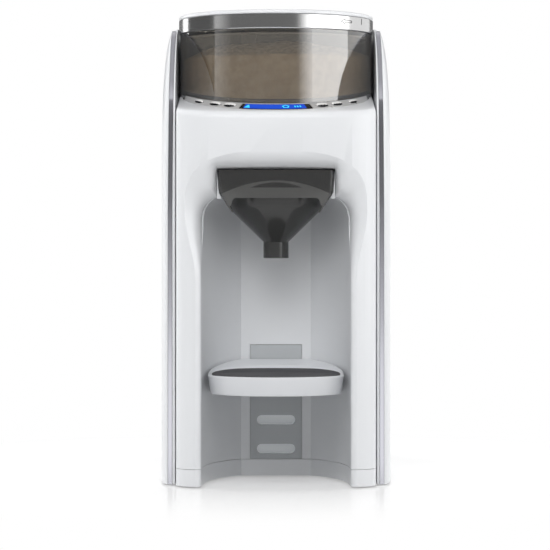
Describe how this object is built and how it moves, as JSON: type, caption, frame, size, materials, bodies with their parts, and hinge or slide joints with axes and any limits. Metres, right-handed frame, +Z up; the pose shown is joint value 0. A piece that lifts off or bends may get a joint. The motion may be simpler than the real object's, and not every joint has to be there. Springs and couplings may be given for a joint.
{
  "type": "baby formula maker",
  "caption": "Countertop machine that doses milk powder and heated water through a funnel into a bottle; tall recess, slotted tray, round powder container on top, water tank behind.",
  "frame": {"origin": "middle of the footprint, on the surface the feet stand on", "axes": "+Z up; the front, with recess and display, faces -Y; the water tank is at +Y; +X is to the right for someone facing the front"},
  "size_m": [0.1692, 0.305, 0.3468],
  "materials": {
    "black_plastic": "matte",
    "board_green": "solder resist",
    "cast_aluminium": "as cast",
    "dark_rubber": "matte",
    "display_black": "polished window",
    "gloss_white": "high gloss",
    "moulded_grey": "fine texture",
    "pinion_brass": "machined",
    "silicone_hose": "translucent silicone",
    "silver_satin": "silver satin coating",
    "smoke_clear": "clear smoke plastic",
    "smoke_dark": "dark translucent plastic",
    "trim_chrome": "bright",
    "zinc_steel": "zinc plated"
  },
  "bodies": {
    "machine": {"base_pan": "gloss_white", "base_screw_front_left": "zinc_steel", "base_screw_front_right": "zinc_steel", "base_screw_rear_left": "zinc_steel", "base_screw_rear_right": "zinc_steel", "chassis": "zinc_steel", "container_seat": "moulded_grey", "control_panel": "silver_satin", "display_board": "board_green", "dock_seal": "dark_rubber", "feed_hose": "silicone_hose", "foot_front_left": "dark_rubber", "foot_front_right": "dark_rubber", "foot_rear_left": "dark_rubber", "foot_rear_right": "dark_rubber", "front_housing": "gloss_white", "funnel_guide": "moulded_grey", "hot_hose": "silicone_hose", "inlet_hose": "silicone_hose", "lcd_window": "display_black", "main_board": "board_green", "powder_chute": "moulded_grey", "powder_motor": "zinc_steel", "power_inlet": "black_plastic", "rear_cover": "gloss_white", "side_panel_left": "gloss_white", "side_panel_right": "gloss_white", "side_trim_left": "trim_chrome", "side_trim_right": "trim_chrome", "slot_panel": "moulded_grey", "tank_dock": "gloss_white", "top_cover": "gloss_white", "water_heater": "cast_aluminium", "water_nozzle": "moulded_grey", "water_pump": "black_plastic"},
    "container": {"powder_container": "smoke_clear", "wheel_cover": "moulded_grey"},
    "wheel": {"dosing_wheel": "moulded_grey", "stirrer": "moulded_grey"},
    "lid_ring": {"lid_seal": "dark_rubber"},
    "lid": {"lid_cap": "gloss_white", "lid_band": "silver_satin"},
    "drive": {"drive_shaft": "zinc_steel", "drive_gear": "moulded_grey"},
    "pinion": {"motor_pinion": "pinion_brass"},
    "funnel": {"funnel": "smoke_dark", "funnel_cover": "smoke_dark"},
    "tray": {"bottle_tray": "gloss_white", "tray_pad": "dark_rubber"},
    "tank": {"water_tank": "smoke_clear", "tank_hinge_pin": "zinc_steel", "valve_spring": "zinc_steel"},
    "tank_lid": {"tank_lid": "gloss_white"},
    "valve": {"tank_valve": "moulded_grey"},
    "button_left_inner": {"button_left_inner": "silver_satin"},
    "button_left_middle": {"button_left_middle": "silver_satin"},
    "button_left_outer": {"button_left_outer": "silver_satin"},
    "button_right_inner": {"button_right_inner": "silver_satin"},
    "button_right_middle": {"button_right_middle": "silver_satin"},
    "button_right_outer": {"button_right_outer": "silver_satin"}
  },
  "joints": [
    {"name": "container_lift", "type": "slide", "parent": "machine", "child": "container", "axis": [0, 0, 1], "range_m": [0, 0.08]},
    {"name": "wheel_spin", "type": "hinge", "parent": "container", "child": "wheel", "pos_m": [0, -0.0465, 0.2655], "axis": [0, 0, 1], "continuous": true},
    {"name": "lid_turn", "type": "hinge", "parent": "container", "child": "lid_ring", "pos_m": [0, -0.0465, 0.341], "axis": [0, 0, 1], "range_deg": [0, 30]},
    {"name": "lid_lift", "type": "slide", "parent": "lid_ring", "child": "lid", "axis": [0, 0, 1], "range_m": [0, 0.03]},
    {"name": "drive_spin", "type": "hinge", "parent": "machine", "child": "drive", "pos_m": [0, -0.0465, 0.2655], "axis": [0, 0, 1], "continuous": true},
    {"name": "pinion_spin", "type": "hinge", "parent": "machine", "child": "pinion", "pos_m": [0, -0.0175, 0.2405], "axis": [0, 0, 1], "continuous": true},
    {"name": "funnel_slide", "type": "slide", "parent": "machine", "child": "funnel", "axis": [0, -1, 0], "range_m": [0, 0.09]},
    {"name": "tray_slide", "type": "slide", "parent": "machine", "child": "tray", "axis": [0, -1, 0], "range_m": [0, 0.12]},
    {"name": "tank_lift", "type": "slide", "parent": "machine", "child": "tank", "axis": [0, 0, 1], "range_m": [0, 0.04]},
    {"name": "tank_lid_hinge", "type": "hinge", "parent": "tank", "child": "tank_lid", "pos_m": [0, 0.066, 0.321], "axis": [1, 0, 0], "range_deg": [0, 95]},
    {"name": "valve_slide", "type": "slide", "parent": "tank", "child": "valve", "axis": [0, 0, 1], "range_m": [-0.0025, 0], "stiffness_N_per_m": 20, "springref_m": -0.0025, "deforming": ["valve_spring"]},
    {"name": "button_left_outer_press", "type": "slide", "parent": "machine", "child": "button_left_outer", "axis": [0.3308, 0.4117, -0.8492], "range_m": [0, 0.0008], "stiffness_N_per_m": 600, "springref_m": -0.0004},
    {"name": "button_left_middle_press", "type": "slide", "parent": "machine", "child": "button_left_middle", "axis": [0.189, 0.4025, -0.8957], "range_m": [0, 0.0008], "stiffness_N_per_m": 600, "springref_m": -0.0004},
    {"name": "button_left_inner_press", "type": "slide", "parent": "machine", "child": "button_left_inner", "axis": [0.1224, 0.3979, -0.9093], "range_m": [0, 0.0008], "stiffness_N_per_m": 600, "springref_m": -0.0004},
    {"name": "button_right_inner_press", "type": "slide", "parent": "machine", "child": "button_right_inner", "axis": [-0.1224, 0.3979, -0.9093], "range_m": [0, 0.0008], "stiffness_N_per_m": 600, "springref_m": -0.0004},
    {"name": "button_right_middle_press", "type": "slide", "parent": "machine", "child": "button_right_middle", "axis": [-0.189, 0.4025, -0.8957], "range_m": [0, 0.0008], "stiffness_N_per_m": 600, "springref_m": -0.0004},
    {"name": "button_right_outer_press", "type": "slide", "parent": "machine", "child": "button_right_outer", "axis": [-0.3308, 0.4117, -0.8492], "range_m": [0, 0.0008], "stiffness_N_per_m": 600, "springref_m": -0.0004}
  ],
  "couplings": [
    {"joint": "drive_spin", "follows": "wheel_spin", "ratio": 1},
    {"joint": "pinion_spin", "follows": "wheel_spin", "ratio": -3.1429},
    {"joint": "valve_slide", "follows": "tank_lift", "ratio": -0.0625}
  ]
}
